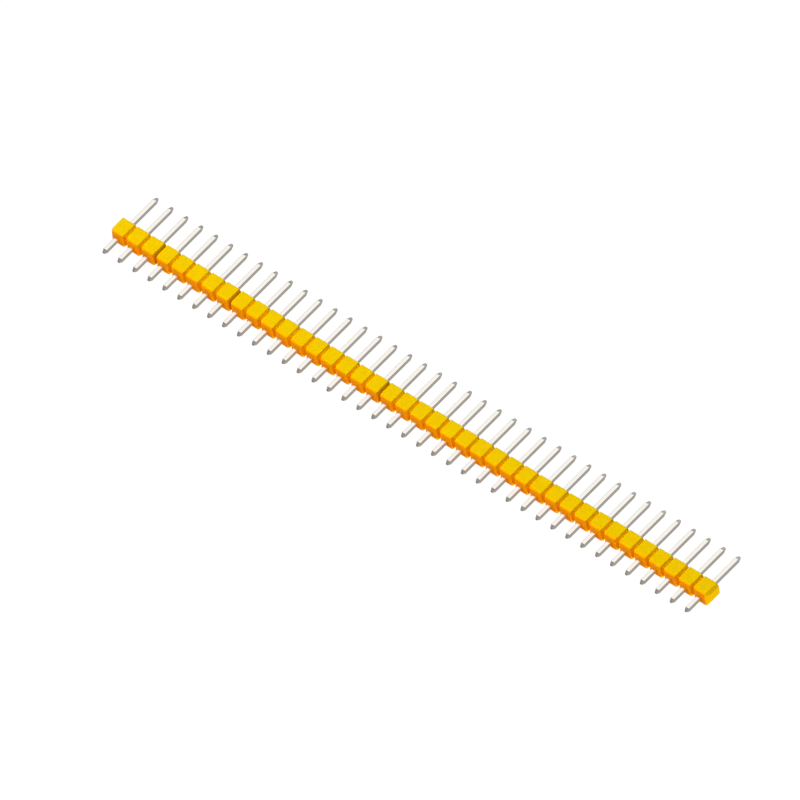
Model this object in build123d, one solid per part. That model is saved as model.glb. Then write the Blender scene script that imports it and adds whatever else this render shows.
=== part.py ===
from build123d import *
import os

# Pin header strip: a row of square contact pins pressed through one moulded insulator
# that snaps apart between its cells. All lengths are in millimetres.
# The strip lies on its side: +X runs along the row, +Y along the pins towards their long
# mating ends and +Z up. The origin is on the surface, under the middle of the whole part.

# Row
PIN_COUNT = 40
PITCH = 2.54

# Contact pin
PIN_WIDTH = 0.64
PIN_EDGE_BEVEL = 0.07
MATING_LENGTH = 5.7
MATING_TIP_LENGTH = 0.6
TAIL_LENGTH = 2.9
TAIL_TIP_LENGTH = 0.45
TIP_WIDTH = 0.32
TIP_EDGE_BEVEL = 0.05

# Insulator
BODY_DEPTH = 2.5
BODY_HEIGHT = 2.5
SIDE_GROOVE_WIDTH = 0.54
SIDE_GROOVE_DEPTH = 0.52
BOARD_GROOVE_WIDTH = 0.7
BOARD_GROOVE_DEPTH = 0.55
BOARD_EDGE_RADIUS = 0.28

# Fit between a pin and its hole, and the overrun of every cut
PIN_FIT_CLEARANCE = 0.0
CUT_OVERRUN = 0.5

# Places worked out from the sizes
ROW_LENGTH = PIN_COUNT * PITCH
PIN_LENGTH = MATING_LENGTH + BODY_DEPTH + TAIL_LENGTH
MATING_END_Y = PIN_LENGTH / 2
MATING_FACE_Y = MATING_END_Y - MATING_LENGTH
BOARD_FACE_Y = MATING_FACE_Y - BODY_DEPTH
TAIL_END_Y = BOARD_FACE_Y - TAIL_LENGTH
PIN_AXIS_Z = BODY_HEIGHT / 2


def cell_places():
    """The middle of each cell along the row."""
    first = (PITCH - ROW_LENGTH) / 2
    return [first + index * PITCH for index in range(PIN_COUNT)]


def section_plane(y):
    """A plane across the pins at y: its x runs along the row, its y up, and it faces the board."""
    return Plane(origin=(0, y, PIN_AXIS_Z), x_dir=(1, 0, 0), z_dir=(0, -1, 0))


def grooved_side(level, groove_width, groove_depth):
    """A long side of the strip: a flat for each cell, a V to the next and half a V at the ends."""
    half_flat = (PITCH - groove_width) / 2
    root = level - groove_depth
    points = [(-ROW_LENGTH / 2, root)]
    for x in cell_places():
        points.append((x - half_flat, level))
        points.append((x + half_flat, level))
        points.append((x + PITCH / 2, root))
    return points


def strip_along_pins():
    """The strip as seen along the pins, with its snap grooves above and below, and pin holes."""
    upper = grooved_side(BODY_HEIGHT / 2, SIDE_GROOVE_WIDTH, SIDE_GROOVE_DEPTH)
    lower = [(x, -z) for x, z in reversed(upper)]
    hole_width = PIN_WIDTH + PIN_FIT_CLEARANCE
    holes = [Pos(x, 0) * Rectangle(hole_width, hole_width) for x in cell_places()]
    section = make_face(Polyline(*upper, *lower, close=True)) - holes
    return extrude(section_plane(MATING_FACE_Y) * section, amount=BODY_DEPTH)


def strip_from_above():
    """The strip as seen from above, with its snap grooves in the board face."""
    board = grooved_side(-BOARD_FACE_Y, BOARD_GROOVE_WIDTH, BOARD_GROOVE_DEPTH)
    board_side = [(x, -y) for x, y in board]
    mating_side = [(ROW_LENGTH / 2, MATING_FACE_Y), (-ROW_LENGTH / 2, MATING_FACE_Y)]
    return extrude(make_face(Polyline(*board_side, *mating_side, close=True)), amount=BODY_HEIGHT)


def board_edge_cutter(side):
    """What rounds the upper (1) or lower (-1) edge of the board face, along the whole row."""
    centre_y = BOARD_FACE_Y + BOARD_EDGE_RADIUS
    centre_z = PIN_AXIS_Z + side * (BODY_HEIGHT / 2 - BOARD_EDGE_RADIUS)
    reach = BOARD_EDGE_RADIUS + CUT_OVERRUN
    length = ROW_LENGTH + CUT_OVERRUN
    above = Align.MIN if side > 0 else Align.MAX
    block = Box(length, reach, reach, align=(Align.CENTER, Align.MAX, above))
    rod = Rotation(0, 90, 0) * Cylinder(BOARD_EDGE_RADIUS, length)
    return Pos(0, centre_y, centre_z) * (block - rod)


def insulator_strip():
    """The moulded strip with its snap grooves, pin holes and rounded board edges."""
    strip = strip_along_pins() & strip_from_above()
    return strip - [board_edge_cutter(1), board_edge_cutter(-1)]


def pin_section(y, width, bevel):
    """The pin's square section with its corners taken off, at y."""
    square = Rectangle(width, width)
    return section_plane(y) * chamfer(square.vertices(), bevel)


def pin_tip(root_y, end_y):
    """The bevelled end of a pin."""
    root = pin_section(root_y, PIN_WIDTH, PIN_EDGE_BEVEL)
    end = pin_section(end_y, TIP_WIDTH, TIP_EDGE_BEVEL)
    return loft([root, end], ruled=True)


def contact_pin():
    """One pin at the middle of the row: a square shaft with a bevelled end each way."""
    mating_root_y = MATING_END_Y - MATING_TIP_LENGTH
    tail_root_y = TAIL_END_Y + TAIL_TIP_LENGTH
    shaft_section = pin_section(mating_root_y, PIN_WIDTH, PIN_EDGE_BEVEL)
    shaft = extrude(shaft_section, amount=mating_root_y - tail_root_y)
    return shaft + pin_tip(mating_root_y, MATING_END_Y) + pin_tip(tail_root_y, TAIL_END_Y)


def write_part():
    """Write the insulator and each pin of the row as a file of its own."""
    os.makedirs("parts", exist_ok=True)
    export_step(insulator_strip(), "parts/insulator_strip.step")
    pin = contact_pin()
    for number, x in enumerate(cell_places(), start=1):
        export_step(Pos(x, 0, 0) * pin, f"parts/contact_pin_{number:02d}.step")


write_part()
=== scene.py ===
import math

import bpy
from mathutils import Matrix, Vector


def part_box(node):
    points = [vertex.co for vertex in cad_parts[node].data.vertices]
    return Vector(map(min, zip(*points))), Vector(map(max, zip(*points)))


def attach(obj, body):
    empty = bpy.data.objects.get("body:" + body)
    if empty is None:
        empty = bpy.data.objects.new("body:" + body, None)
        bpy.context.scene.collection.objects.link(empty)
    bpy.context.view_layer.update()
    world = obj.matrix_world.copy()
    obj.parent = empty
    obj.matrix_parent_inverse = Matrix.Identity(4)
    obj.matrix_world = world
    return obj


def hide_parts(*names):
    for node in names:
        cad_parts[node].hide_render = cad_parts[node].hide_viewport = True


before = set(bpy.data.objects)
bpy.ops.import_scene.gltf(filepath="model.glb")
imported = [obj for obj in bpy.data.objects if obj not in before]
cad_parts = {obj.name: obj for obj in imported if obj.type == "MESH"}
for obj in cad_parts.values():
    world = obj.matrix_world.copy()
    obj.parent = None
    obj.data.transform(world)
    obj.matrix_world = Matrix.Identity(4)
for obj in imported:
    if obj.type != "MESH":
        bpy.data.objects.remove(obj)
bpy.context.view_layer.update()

# Pin header strip: forty bright-tinned square pins through one yellow moulded insulator.
# Every length is in metres. +X runs along the row, +Y towards the long ends of the pins.
MM = 0.001

# Nodes of the frame, and the sizes that they give
STRIP_NODE = "insulator_strip"
PIN_NODES = sorted(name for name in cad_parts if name.startswith("contact_pin_"))
STRIP_LOW, STRIP_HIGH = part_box(STRIP_NODE)
STRIP_DEPTH = STRIP_HIGH.y - STRIP_LOW.y
STRIP_HEIGHT = STRIP_HIGH.z - STRIP_LOW.z
PIN_LOW, PIN_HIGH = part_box(PIN_NODES[0])
PIN_COUNT = len(PIN_NODES)
PITCH = (STRIP_HIGH.x - STRIP_LOW.x) / PIN_COUNT
PIN_WIDTH = PIN_HIGH.x - PIN_LOW.x
PIN_AXIS_Z = (PIN_LOW.z + PIN_HIGH.z) / 2
FIRST_PIN_X = (PIN_LOW.x + PIN_HIGH.x) / 2
TAIL_END_Y = PIN_LOW.y
MATING_END_Y = PIN_HIGH.y

# Contact pin
PIN_EDGE_RADIUS = 0.09 * MM
PIN_EDGE_STEPS = 10
MATING_TIP_LENGTH = 0.6 * MM
TAIL_TIP_LENGTH = 0.45 * MM
TIP_WIDTH = 0.32 * MM
TIP_RIM_LENGTH = 0.04 * MM
TIP_RIM_WIDTH = 0.24 * MM
PIN_SHARP_ANGLE = math.radians(12)

# Insulator: its grooves and edges, and how finely the grooves are divided
SIDE_GROOVE_WIDTH = 0.54 * MM
SIDE_GROOVE_DEPTH = 0.52 * MM
BOARD_GROOVE_WIDTH = 0.7 * MM
BOARD_GROOVE_DEPTH = 0.55 * MM
BOARD_EDGE_RADIUS = 0.34 * MM
MATING_EDGE_RADIUS = 0.12 * MM
GROOVE_SOFTNESS = 0.25
FINE_ZONE = 0.44 * MM
STEPS_PER_CELL = 28
FINE_STEPS = 12
STRIP_EDGE_STEPS = 6
STRIP_SHARP_ANGLE = math.radians(24)

# Length of what cuts the pin holes, as a share of the insulator's depth
HOLE_LENGTH_SHARE = 2.0

# Camera: where it stands, how it is rolled, and where the strip lies in the picture
CAMERA_AZIMUTH = math.radians(45.5)
CAMERA_ELEVATION = math.radians(52.0)
CAMERA_ROLL = math.radians(-7.1)
CAMERA_DISTANCE = 0.5
PICTURE_WIDTH = 104.15 * MM
AIM_RIGHT = -1.920 * MM
AIM_UP = 1.549 * MM

# Soft clouds that both materials use: the span of the noise that is spread out, and its detail
CLOUD_SPAN = (0.3, 0.7)
CLOUD_DETAIL = 2.0

# Yellow moulding: colours, among them the painted shade of the snap grooves, sizes of its mottle and
# grain, and how light soaks in
YELLOW = (0.90, 0.65, 0.0, 1)
YELLOW_DEEP = (0.88, 0.61, 0.0, 1)
# Painted shade: a redder orange for the snap grooves, and a dark brown for three of them
ORANGE_GROOVE_SHADE = (1.0, 0.63, 0.0, 1)
DARK_GROOVE_SHADE = (0.50, 0.24, 0.0, 1)
MOTTLE_SIZE = 1.1 * MM
MOTTLE_DETAIL = 3.0
SHEEN_SIZE = 0.4 * MM
GRAIN_SIZE = 0.14 * MM
GRAIN_HEIGHT = 0.01 * MM
GRAIN_STRENGTH = 0.15
PLASTIC_ROUGHNESS = (0.40, 0.52)
PLASTIC_SHINE = 0.06
PLASTIC_SHINE_TINT = (1.0, 0.75, 0.05, 1)
SOAK_SHARE = 0.2
SOAK_REACH = (0.5, 0.3, 0.02)

# Painted shade in the snap grooves: a redder orange in all of them, and a dark brown in the three listed,
# each by the cells before it
GROOVE_SHADE_REACH = 0.27 * MM
DARK_SHADED_GROOVES = (3, 8, 18)
DARK_SHADE_FULL_REACH = 0.12 * MM
DARK_SHADE_SHARE = 0.65

# Bright tin: colours along the drawn streaks, and the duller cut ends
TIN = (0.905, 0.875, 0.815, 1)
TIN_STREAK = (0.86, 0.83, 0.775, 1)
TIN_CUT = (0.46, 0.43, 0.41, 1)
STREAK_SIZE = 0.11 * MM
STREAK_STRETCH = (1.0, 0.05, 1.0)
STREAK_HEIGHT = 0.002 * MM
STREAK_STRENGTH = 0.3
RUB_SIZE = 0.2 * MM
TIN_ROUGHNESS = (0.10, 0.20)
CUT_ROUGHNESS = 0.45
CUT_LENGTH = 0.06 * MM

# Lights: direction from the part, size, radiance, colour, and whether the pins mirror it
WHITE = (1.0, 1.0, 1.0)
WARM = (1.0, 0.1, 0.04)
LIGHT_DISTANCE = 0.9
LIGHTS = {
    "back_box": ((-0.43, 0.44, 0.79), 0.75, 0.74, WHITE, True),
    "top_fill": ((-0.45, -0.15, 0.88), 0.7, 4.4, WHITE, False),
    "right_fill": ((0.8, 0.02, -0.6), 0.4, 13.6, WHITE, False),
    "front_fill": ((0.08, -0.98, 0.13), 0.2, 37.0, WARM, False),
}

# Room: what lights the part, what the pins mirror, and what the camera sees
ROOM_GREY = (0.2, 0.2, 0.2, 1)
ROOM_MIRRORED = (0.33, 0.32, 0.31, 1)
ROOM_SEEN = (*WHITE, 1)

# Floor: what it gives back to the part, what the pins mirror, and what the camera sees
FLOOR_SIZE = 12.0
FLOOR_DROP = 0.01 * MM
FLOOR_GREY = (0.22, 0.22, 0.22, 1)
FLOOR_MIRRORED = (0.42, 0.4, 0.38, 1)
FLOOR_GLOW = 1.14
FLOOR_GLOW_SHARE = 0.88


def feed(tree, socket, value):
    """Wire an output socket to an input socket, or set the input to a plain value."""
    if isinstance(value, bpy.types.NodeSocket):
        tree.links.new(value, socket)
    else:
        socket.default_value = value


def feed_all(tree, node, inputs):
    """Feed a node's inputs by their names."""
    for name, value in inputs.items():
        feed(tree, node.inputs[name], value)


def new_node(tree, kind, inputs=None, **settings):
    """A node of a kind with its settings, and with its inputs fed by name."""
    node = tree.nodes.new(kind)
    for name, value in settings.items():
        setattr(node, name, value)
    feed_all(tree, node, inputs or {})
    return node


def maths(tree, operation, *values):
    """The result of a Math node; each value is a socket or a plain number."""
    node = new_node(tree, "ShaderNodeMath", operation=operation)
    for socket, value in zip(node.inputs, values):
        feed(tree, socket, value)
    return node.outputs["Value"]


def remap(tree, value, low, high, to_low, to_high):
    """A value carried from one span to another, which stops at the ends."""
    spans = {"Value": value, "From Min": low, "From Max": high, "To Min": to_low, "To Max": to_high}
    return new_node(tree, "ShaderNodeMapRange", spans).outputs["Result"]


def vector(tree, **parts):
    """A vector from the sockets given for X, Y and Z."""
    return new_node(tree, "ShaderNodeCombineXYZ", parts).outputs["Vector"]


def split(tree, place):
    """The X, Y and Z of a vector."""
    return new_node(tree, "ShaderNodeSeparateXYZ", {"Vector": place}).outputs


def new_tree(name, kind, inputs, output, output_type):
    """A node tree with inputs named by socket type and one output, and the sockets of its inputs."""
    tree = bpy.data.node_groups.new(name, kind)
    for socket_type, input_names in inputs.items():
        for input_name in input_names:
            tree.interface.new_socket(input_name, in_out="INPUT", socket_type=socket_type)
    tree.interface.new_socket(output, in_out="OUTPUT", socket_type=output_type)
    return tree, new_node(tree, "NodeGroupInput").outputs


def rounded_section(tree, width, height, radius, steps):
    """A rectangle with rounded corners, as a curve."""
    plain = new_node(tree, "GeometryNodeCurvePrimitiveQuadrilateral", {"Width": width, "Height": height})
    corners = {"Curve": plain.outputs["Curve"], "Radius": radius, "Count": steps}
    return new_node(tree, "GeometryNodeFilletCurve", corners, mode="POLY").outputs["Curve"]


def swept(tree, count, place, section, scale):
    """A closed solid: a section carried upright past a count of stations, scaled at each."""
    line = new_node(tree, "GeometryNodeMeshLine", {"Count": count})
    path = new_node(tree, "GeometryNodeMeshToCurve", {"Mesh": line.outputs["Mesh"]})
    points = {"Geometry": path.outputs["Curve"], "Position": place}
    placed = new_node(tree, "GeometryNodeSetPosition", points)
    along = {"Curve": placed.outputs["Geometry"]}
    upright = new_node(tree, "GeometryNodeSetCurveNormal", along, mode="Z_UP")
    return new_node(tree, "GeometryNodeCurveToMesh", {
        "Curve": upright.outputs["Curve"],
        "Profile Curve": section,
        "Scale": scale,
        "Fill Caps": True,
    }).outputs["Mesh"]


def in_a_row(tree, piece, count, start, step):
    """Copies of a piece along a row, as instances."""
    places = {"Count": count, "Start Location": start, "Offset": step}
    row = new_node(tree, "GeometryNodeMeshLine", places)
    copies = {"Points": row.outputs["Mesh"], "Instance": piece}
    return new_node(tree, "GeometryNodeInstanceOnPoints", copies).outputs["Instances"]


def made_real(tree, geometry):
    """Instances turned into a mesh."""
    return new_node(tree, "GeometryNodeRealizeInstances", {"Geometry": geometry}).outputs["Geometry"]


def put_out(tree, geometry, finish):
    """End a geometry tree: all of it as a mesh, with its material."""
    dressed = {"Geometry": made_real(tree, geometry), "Material": finish}
    whole = new_node(tree, "GeometryNodeSetMaterial", dressed)
    new_node(tree, "NodeGroupOutput", {"Geometry": whole.outputs["Geometry"]})


def here(tree):
    """The X, Y and Z of the point at hand."""
    return split(tree, new_node(tree, "GeometryNodeInputPosition").outputs["Position"])


def station_along_row(tree, given, half_pitch):
    """The X of a station by its number: close together at the grooves, far apart on the flats."""
    index = new_node(tree, "GeometryNodeInputIndex").outputs["Index"]
    along = maths(tree, "DIVIDE", index, given["Steps per Cell"])
    share = maths(tree, "FRACT", along)
    from_border = maths(tree, "PINGPONG", share, 0.5)
    fine_share = maths(tree, "DIVIDE", given["Fine Steps"], given["Steps per Cell"])
    flat_length = maths(tree, "SUBTRACT", half_pitch, given["Fine Zone"])
    near = remap(tree, from_border, 0.0, fine_share, 0.0, given["Fine Zone"])
    far = remap(tree, from_border, fine_share, 0.5, 0.0, flat_length)
    past_middle = maths(tree, "GREATER_THAN", share, 0.5)
    border = maths(tree, "ADD", maths(tree, "FLOOR", along), past_middle)
    border_x = maths(tree, "MULTIPLY_ADD", border, given["Pitch"], given["Start X"])
    towards = maths(tree, "MULTIPLY_ADD", past_middle, -2.0, 1.0)
    return maths(tree, "MULTIPLY_ADD", maths(tree, "ADD", near, far), towards, border_x)


def plain_bar(tree, given, half_pitch, middle_y):
    """The strip before it is carved: a bar with rounded edges. Its section's +X is the board side."""
    on_board_side = maths(tree, "GREATER_THAN", here(tree)["X"], 0.0)
    radius = remap(tree, on_board_side, 0.0, 1.0, given["Mating Edge Radius"], given["Board Edge Radius"])
    section = rounded_section(tree, given["Depth"], given["Height"], radius, given["Edge Steps"])
    count = maths(tree, "MULTIPLY_ADD", given["Cell Count"], given["Steps per Cell"], 1.0)
    station_x = station_along_row(tree, given, half_pitch)
    place = vector(tree, X=station_x, Y=middle_y, Z=given["Axis Height"])
    return swept(tree, count, place, section, 1.0)


def groove_cut(tree, distance, width, depth, softness):
    """How deep a V groove of a width and depth is at a distance from its root."""
    slope = maths(tree, "DIVIDE", distance, width)
    vee = maths(tree, "MULTIPLY_ADD", slope, -2.0, 1.0)
    return maths(tree, "MULTIPLY", depth, maths(tree, "SMOOTH_MAX", vee, 0.0, softness))


def carved(tree, given, bar, half_pitch, middle_y):
    """The bar with its snap grooves: near each border its section moves in and keeps its rounding."""
    point = here(tree)
    from_start = maths(tree, "SUBTRACT", point["X"], given["Start X"])
    distance = maths(tree, "PINGPONG", from_start, half_pitch)
    side_cut, board_cut = (
        groove_cut(tree, distance, given[f"{side} Groove Width"], given[f"{side} Groove Depth"],
                   given["Softness"])
        for side in ("Side", "Board")
    )
    inwards = maths(tree, "SIGN", maths(tree, "SUBTRACT", given["Axis Height"], point["Z"]))
    board_half = maths(tree, "LESS_THAN", point["Y"], middle_y)
    moved_y = maths(tree, "MULTIPLY_ADD", board_cut, board_half, point["Y"])
    moved_z = maths(tree, "MULTIPLY_ADD", side_cut, inwards, point["Z"])
    place = vector(tree, X=point["X"], Y=moved_y, Z=moved_z)
    points = {"Geometry": bar, "Position": place}
    return new_node(tree, "GeometryNodeSetPosition", points).outputs["Geometry"]


def hole_cutters(tree, given, half_pitch, middle_y):
    """What cuts the square pin holes."""
    length = maths(tree, "MULTIPLY", given["Depth"], HOLE_LENGTH_SHARE)
    size = vector(tree, X=given["Hole Width"], Y=length, Z=given["Hole Width"])
    cutter = new_node(tree, "GeometryNodeMeshCube", {"Size": size}).outputs["Mesh"]
    first_x = maths(tree, "ADD", given["Start X"], half_pitch)
    start = vector(tree, X=first_x, Y=middle_y, Z=given["Axis Height"])
    step = vector(tree, X=given["Pitch"])
    return made_real(tree, in_a_row(tree, cutter, given["Cell Count"], start, step))


def strip_tree():
    """The insulator: a bar with rounded edges, carved by its snap grooves and pierced for the pins."""
    inputs = {
        "NodeSocketFloat": (
            "Pitch", "Start X", "Axis Height", "Mating Face", "Depth", "Height",
            "Side Groove Width", "Side Groove Depth", "Board Groove Width", "Board Groove Depth",
            "Board Edge Radius", "Mating Edge Radius", "Softness", "Fine Zone", "Hole Width",
        ),
        "NodeSocketInt": ("Cell Count", "Steps per Cell", "Fine Steps", "Edge Steps"),
        "NodeSocketMaterial": ("Finish",),
    }
    kind = "GeometryNodeTree"
    tree, given = new_tree("snap_apart_strip", kind, inputs, "Geometry", "NodeSocketGeometry")
    half_pitch = maths(tree, "MULTIPLY", given["Pitch"], 0.5)
    middle_y = maths(tree, "MULTIPLY_ADD", given["Depth"], -0.5, given["Mating Face"])
    bar = plain_bar(tree, given, half_pitch, middle_y)
    pierced = new_node(tree, "GeometryNodeMeshBoolean", {
        "Mesh 1": carved(tree, given, bar, half_pitch, middle_y),
        "Mesh 2": hole_cutters(tree, given, half_pitch, middle_y),
    }, operation="DIFFERENCE", solver="EXACT")
    put_out(tree, pierced.outputs["Mesh"], given["Finish"])
    return tree


def by_station(tree, values):
    """The value that belongs to a station, by its number."""
    switch = new_node(tree, "GeometryNodeIndexSwitch", data_type="FLOAT")
    while len(switch.index_switch_items) < len(values):
        switch.index_switch_items.new()
    index = new_node(tree, "GeometryNodeInputIndex").outputs["Index"]
    for socket, value in zip(switch.inputs, (index, *values)):
        feed(tree, socket, value)
    return switch.outputs["Output"]


def pin_row_tree():
    """The row of pins: one square pin with rounded edges and bevelled ends, set at each place."""
    inputs = {
        "NodeSocketFloat": (
            "Pitch", "First Pin X", "Axis Height", "Pin Width", "Edge Radius", "Tip Share",
            "Rim Share", "Tail End", "Tail Rim", "Tail Root", "Mating Root", "Mating Rim",
            "Mating End",
        ),
        "NodeSocketInt": ("Pin Count", "Edge Steps"),
        "NodeSocketMaterial": ("Finish",),
    }
    kind = "GeometryNodeTree"
    tree, given = new_tree("contact_pin_row", kind, inputs, "Geometry", "NodeSocketGeometry")
    width_shares = {
        "Tail End": given["Rim Share"],
        "Tail Rim": given["Tip Share"],
        "Tail Root": 1.0,
        "Mating Root": 1.0,
        "Mating Rim": given["Tip Share"],
        "Mating End": given["Rim Share"],
    }
    station_y = by_station(tree, [given[name] for name in width_shares])
    place = vector(tree, Y=station_y, Z=given["Axis Height"])
    width = given["Pin Width"]
    section = rounded_section(tree, width, width, given["Edge Radius"], given["Edge Steps"])
    scale = by_station(tree, list(width_shares.values()))
    pin = swept(tree, len(width_shares), place, section, scale)
    start = vector(tree, X=given["First Pin X"])
    step = vector(tree, X=given["Pitch"])
    put_out(tree, in_a_row(tree, pin, given["Pin Count"], start, step), given["Finish"])
    return tree


def plain_mesh(tree, name, values):
    """The mesh that a Geometry Nodes tree makes from its input values."""
    maker = bpy.data.objects.new(name + "_maker", bpy.data.meshes.new(name + "_start"))
    bpy.context.scene.collection.objects.link(maker)
    modifier = maker.modifiers.new("nodes", "NODES")
    modifier.node_group = tree
    for socket in tree.interface.items_tree:
        if socket.in_out == "INPUT":
            modifier[socket.identifier] = values[socket.name]
    depsgraph = bpy.context.evaluated_depsgraph_get()
    mesh = bpy.data.meshes.new_from_object(maker.evaluated_get(depsgraph))
    mesh.name = name
    bpy.data.objects.remove(maker)
    return mesh


def finished_piece(name, mesh, sharp_angle):
    """An object of a mesh that is smooth up to a sharp angle, with flat faces that look flat."""
    mesh.shade_smooth()
    mesh.set_sharp_from_angle(angle=sharp_angle)
    piece = bpy.data.objects.new(name, mesh)
    bpy.context.scene.collection.objects.link(piece)
    weighting = piece.modifiers.new("flat_faces_stay_flat", "WEIGHTED_NORMAL")
    weighting.keep_sharp = True
    return piece


def contact_pins(finish):
    """All the pins of the row as one piece."""
    values = {
        "Pitch": PITCH,
        "First Pin X": FIRST_PIN_X,
        "Axis Height": PIN_AXIS_Z,
        "Pin Width": PIN_WIDTH,
        "Edge Radius": PIN_EDGE_RADIUS,
        "Tip Share": TIP_WIDTH / PIN_WIDTH,
        "Rim Share": TIP_RIM_WIDTH / PIN_WIDTH,
        "Tail End": TAIL_END_Y,
        "Tail Rim": TAIL_END_Y + TIP_RIM_LENGTH,
        "Tail Root": TAIL_END_Y + TAIL_TIP_LENGTH,
        "Mating Root": MATING_END_Y - MATING_TIP_LENGTH,
        "Mating Rim": MATING_END_Y - TIP_RIM_LENGTH,
        "Mating End": MATING_END_Y,
        "Pin Count": PIN_COUNT,
        "Edge Steps": PIN_EDGE_STEPS,
        "Finish": finish,
    }
    mesh = plain_mesh(pin_row_tree(), "contact_pins", values)
    piece = finished_piece("contact_pins", mesh, PIN_SHARP_ANGLE)
    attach(piece, "root")
    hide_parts(*PIN_NODES)


def moulded_strip(finish):
    """The insulator, from end to end of the row."""
    values = {
        "Pitch": PITCH,
        "Start X": STRIP_LOW.x,
        "Axis Height": PIN_AXIS_Z,
        "Mating Face": STRIP_HIGH.y,
        "Depth": STRIP_DEPTH,
        "Height": STRIP_HEIGHT,
        "Side Groove Width": SIDE_GROOVE_WIDTH,
        "Side Groove Depth": SIDE_GROOVE_DEPTH,
        "Board Groove Width": BOARD_GROOVE_WIDTH,
        "Board Groove Depth": BOARD_GROOVE_DEPTH,
        "Board Edge Radius": BOARD_EDGE_RADIUS,
        "Mating Edge Radius": MATING_EDGE_RADIUS,
        "Softness": GROOVE_SOFTNESS,
        "Fine Zone": FINE_ZONE,
        "Hole Width": PIN_WIDTH,
        "Cell Count": PIN_COUNT,
        "Steps per Cell": STEPS_PER_CELL,
        "Fine Steps": FINE_STEPS,
        "Edge Steps": STRIP_EDGE_STEPS,
        "Finish": finish,
    }
    mesh = plain_mesh(strip_tree(), "moulded_strip", values)
    piece = finished_piece("moulded_strip", mesh, STRIP_SHARP_ANGLE)
    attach(piece, "root")
    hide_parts(STRIP_NODE)


def cloud_group():
    """A shared effect: soft clouds over a surface, between a low and a high value."""
    inputs = {
        "NodeSocketVector": ("Vector",),
        "NodeSocketFloat": ("Scale", "Detail", "Low", "High"),
    }
    tree, given = new_tree("soft_clouds", "ShaderNodeTree", inputs, "Value", "NodeSocketFloat")
    pattern = {name: given[name] for name in ("Vector", "Scale", "Detail")}
    noise = new_node(tree, "ShaderNodeTexNoise", pattern).outputs["Fac"]
    spread = remap(tree, noise, *CLOUD_SPAN, given["Low"], given["High"])
    new_node(tree, "NodeGroupOutput", {"Value": spread})
    return tree


def clouds(tree, group, place, size, low=0.0, high=1.0, detail=CLOUD_DETAIL):
    """The shared clouds in a material, with their own size and values."""
    values = {"Vector": place, "Scale": 1 / size, "Detail": detail, "Low": low, "High": high}
    return new_node(tree, "ShaderNodeGroup", values, node_tree=group).outputs["Value"]


def blend(tree, factor, first, second):
    """A colour between two, each a socket or a colour."""
    node = new_node(tree, "ShaderNodeMix", {"Factor": factor}, data_type="RGBA")
    for name, colour in (("A", first), ("B", second)):
        socket = [each for each in node.inputs if each.name == name and each.type == "RGBA"][0]
        feed(tree, socket, colour)
    return [each for each in node.outputs if each.type == "RGBA"][0]


def bumped(tree, height, distance, strength):
    """The normal of a surface that a height raises by up to a distance."""
    values = {"Height": height, "Distance": distance, "Strength": strength}
    return new_node(tree, "ShaderNodeBump", values).outputs["Normal"]


def blank_material(name):
    """A new material, its tree, its shader, and the place on the object in its own coordinates."""
    material = bpy.data.materials.new(name)
    material.use_nodes = True
    tree = material.node_tree
    place = new_node(tree, "ShaderNodeTexCoord").outputs["Object"]
    return material, tree, tree.nodes["Principled BSDF"], place


def painted_groove_shade(tree, place):
    """Painted shade in the snap grooves, strongest at their roots: in all of them, and darker in three.
    """
    along = split(tree, place)["X"]
    from_start = maths(tree, "SUBTRACT", along, STRIP_LOW.x)
    from_border = maths(tree, "PINGPONG", from_start, PITCH / 2)
    groove = remap(tree, from_border, 0.0, GROOVE_SHADE_REACH, 1.0, 0.0)
    dark_shade = 0.0
    # Painted shade: three grooves go dark brown towards their roots
    for cells in DARK_SHADED_GROOVES:
        from_root = maths(tree, "SUBTRACT", along, STRIP_LOW.x + cells * PITCH)
        away = maths(tree, "ABSOLUTE", from_root)
        one_dark_shade = remap(tree, away, DARK_SHADE_FULL_REACH, GROOVE_SHADE_REACH, DARK_SHADE_SHARE, 0.0)
        dark_shade = maths(tree, "MAXIMUM", one_dark_shade, dark_shade)
    return groove, dark_shade


def yellow_moulding(group):
    """Yellow thermoplastic: a fine moulded grain, light that soaks in, and painted shade in the snap
    grooves, darkest in three of them.
    """
    material, tree, shader, place = blank_material("yellow_moulding")
    mottle = clouds(tree, group, place, MOTTLE_SIZE, detail=MOTTLE_DETAIL)
    groove, dark_shade = painted_groove_shade(tree, place)
    # Painted shade: the colour turns a redder orange towards each snap groove's root
    with_groove_shade = blend(tree, groove, blend(tree, mottle, YELLOW, YELLOW_DEEP), ORANGE_GROOVE_SHADE)
    grain = clouds(tree, group, place, GRAIN_SIZE)
    feed_all(tree, shader, {
        # Painted shade: dark brown over the roots of three grooves
        "Base Color": blend(tree, dark_shade, with_groove_shade, DARK_GROOVE_SHADE),
        "Roughness": clouds(tree, group, place, SHEEN_SIZE, *PLASTIC_ROUGHNESS),
        "Normal": bumped(tree, grain, GRAIN_HEIGHT, GRAIN_STRENGTH),
        "Subsurface Weight": SOAK_SHARE,
        "Subsurface Scale": MM,
        "Subsurface Radius": SOAK_REACH,
        "Specular IOR Level": PLASTIC_SHINE,
        "Specular Tint": PLASTIC_SHINE_TINT,
    })
    return material


def cut_ends(tree, place):
    """Where the wire was cut: from 0 along a pin to 1 at both of its ends."""
    from_middle = maths(tree, "SUBTRACT", split(tree, place)["Y"], (TAIL_END_Y + MATING_END_Y) / 2)
    away = maths(tree, "ABSOLUTE", from_middle)
    half_length = (MATING_END_Y - TAIL_END_Y) / 2
    return remap(tree, away, half_length - CUT_LENGTH, half_length, 0.0, 1.0)


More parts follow.
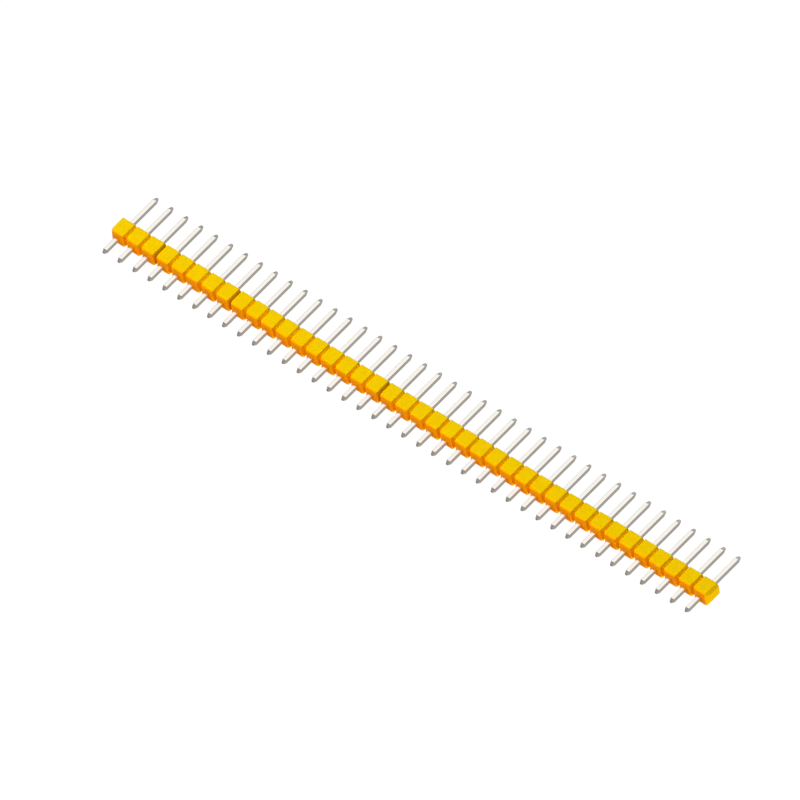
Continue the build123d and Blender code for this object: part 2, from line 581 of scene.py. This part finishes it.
def bright_tin(group):
    """Bright tin plate over drawn wire: faint streaks along the pin and duller cut ends."""
    material, tree, shader, place = blank_material("bright_tin")
    stretched = {"Vector": place, "Scale": STREAK_STRETCH}
    drawn = new_node(tree, "ShaderNodeMapping", stretched).outputs["Vector"]
    streaks = clouds(tree, group, drawn, STREAK_SIZE)
    rubbed = clouds(tree, group, drawn, RUB_SIZE, *TIN_ROUGHNESS)
    cut = cut_ends(tree, place)
    feed_all(tree, shader, {
        "Base Color": blend(tree, cut, blend(tree, streaks, TIN, TIN_STREAK), TIN_CUT),
        "Roughness": maths(tree, "MULTIPLY_ADD", cut, CUT_ROUGHNESS, rubbed),
        "Normal": bumped(tree, streaks, STREAK_HEIGHT, STREAK_STRENGTH),
        "Metallic": 1.0,
    })
    return material


def by_ray(tree, share, usual, special):
    """A shader that gives way to a special one by a share that a kind of ray sets."""
    mix = new_node(tree, "ShaderNodeMixShader")
    for socket, value in zip(mix.inputs, (share, usual, special)):
        feed(tree, socket, value)
    return mix.outputs["Shader"]


def studio_paper():
    """Pale paper: grey to the part, lighter in the pins, and white to the camera."""
    material = bpy.data.materials.new("studio_paper")
    material.use_nodes = True
    tree = material.node_tree
    tree.nodes.clear()
    ray = new_node(tree, "ShaderNodeLightPath").outputs
    paper = new_node(tree, "ShaderNodeBsdfDiffuse", {"Color": FLOOR_GREY}).outputs["BSDF"]
    mirrored = new_node(tree, "ShaderNodeEmission", {"Color": FLOOR_MIRRORED}).outputs["Emission"]
    glow = new_node(tree, "ShaderNodeEmission", {"Strength": FLOOR_GLOW}).outputs["Emission"]
    unseen = by_ray(tree, ray["Is Glossy Ray"], paper, mirrored)
    glow_share = maths(tree, "MULTIPLY", ray["Is Camera Ray"], FLOOR_GLOW_SHARE)
    surface = by_ray(tree, glow_share, unseen, glow)
    new_node(tree, "ShaderNodeOutputMaterial", {"Surface": surface})
    return material


def studio_floor():
    """The floor, which lets the light from below through to the part, as a light table does."""
    half = FLOOR_SIZE / 2
    outline = ((-half, -half), (half, -half), (half, half), (-half, half))
    corners = [(x, y, -FLOOR_DROP) for x, y in outline]
    mesh = bpy.data.meshes.new("floor")
    mesh.from_pydata(corners, [], [range(len(corners))])
    mesh.materials.append(studio_paper())
    floor = bpy.data.objects.new("floor", mesh)
    bpy.context.scene.collection.objects.link(floor)
    floor.visible_shadow = False


def studio_world():
    """The room round the part: dim grey to the part, lighter in the pins, and white to the camera."""
    world = bpy.data.worlds.new("studio_room")
    bpy.context.scene.world = world
    world.use_nodes = True
    tree = world.node_tree
    tree.nodes.clear()
    ray = new_node(tree, "ShaderNodeLightPath").outputs
    usual, mirrored, seen = (
        new_node(tree, "ShaderNodeBackground", {"Color": colour}).outputs["Background"]
        for colour in (ROOM_GREY, ROOM_MIRRORED, ROOM_SEEN)
    )
    unseen = by_ray(tree, ray["Is Glossy Ray"], usual, mirrored)
    surface = by_ray(tree, ray["Is Camera Ray"], unseen, seen)
    new_node(tree, "ShaderNodeOutputWorld", {"Surface": surface})


def soft_light(name, direction, size, radiance, colour, mirrored):
    """A square soft box that shines at the part from a direction."""
    light = bpy.data.lights.new(name, "AREA")
    light.shape = "SQUARE"
    light.size = size
    light.energy = radiance * math.pi * size * size
    light.color = colour
    box = bpy.data.objects.new(name, light)
    bpy.context.scene.collection.objects.link(box)
    away = Vector(direction).normalized()
    box.location = away * LIGHT_DISTANCE
    box.rotation_mode = "QUATERNION"
    box.rotation_quaternion = away.to_track_quat("Z", "Y")
    box.visible_camera = False
    box.visible_glossy = mirrored


def studio_lights():
    """A soft box that the pins mirror, and fills from above, from the right and, warm, in front."""
    for name, values in LIGHTS.items():
        soft_light(name, *values)


def photo_camera():
    """A camera without perspective, because the picture shows none."""
    flat = math.cos(CAMERA_ELEVATION)
    back = Vector((
        math.sin(CAMERA_AZIMUTH) * flat,
        -math.cos(CAMERA_AZIMUTH) * flat,
        math.sin(CAMERA_ELEVATION),
    ))
    level_right = Vector((math.cos(CAMERA_AZIMUTH), math.sin(CAMERA_AZIMUTH), 0))
    level_up = back.cross(level_right)
    right = level_right * math.cos(CAMERA_ROLL) + level_up * math.sin(CAMERA_ROLL)
    up = back.cross(right)
    aim = (STRIP_LOW + STRIP_HIGH) / 2 + right * AIM_RIGHT + up * AIM_UP
    data = bpy.data.cameras.new("photo_camera")
    data.type = "ORTHO"
    data.ortho_scale = PICTURE_WIDTH
    camera = bpy.data.objects.new("photo_camera", data)
    bpy.context.scene.collection.objects.link(camera)
    turn = Matrix((right, up, back)).transposed().to_4x4()
    camera.matrix_world = Matrix.Translation(aim + back * CAMERA_DISTANCE) @ turn
    bpy.context.scene.camera = camera


shared_clouds = cloud_group()
moulded_strip(yellow_moulding(shared_clouds))
contact_pins(bright_tin(shared_clouds))
studio_floor()
studio_world()
studio_lights()
photo_camera()
bpy.context.scene.view_settings.view_transform = "Standard"
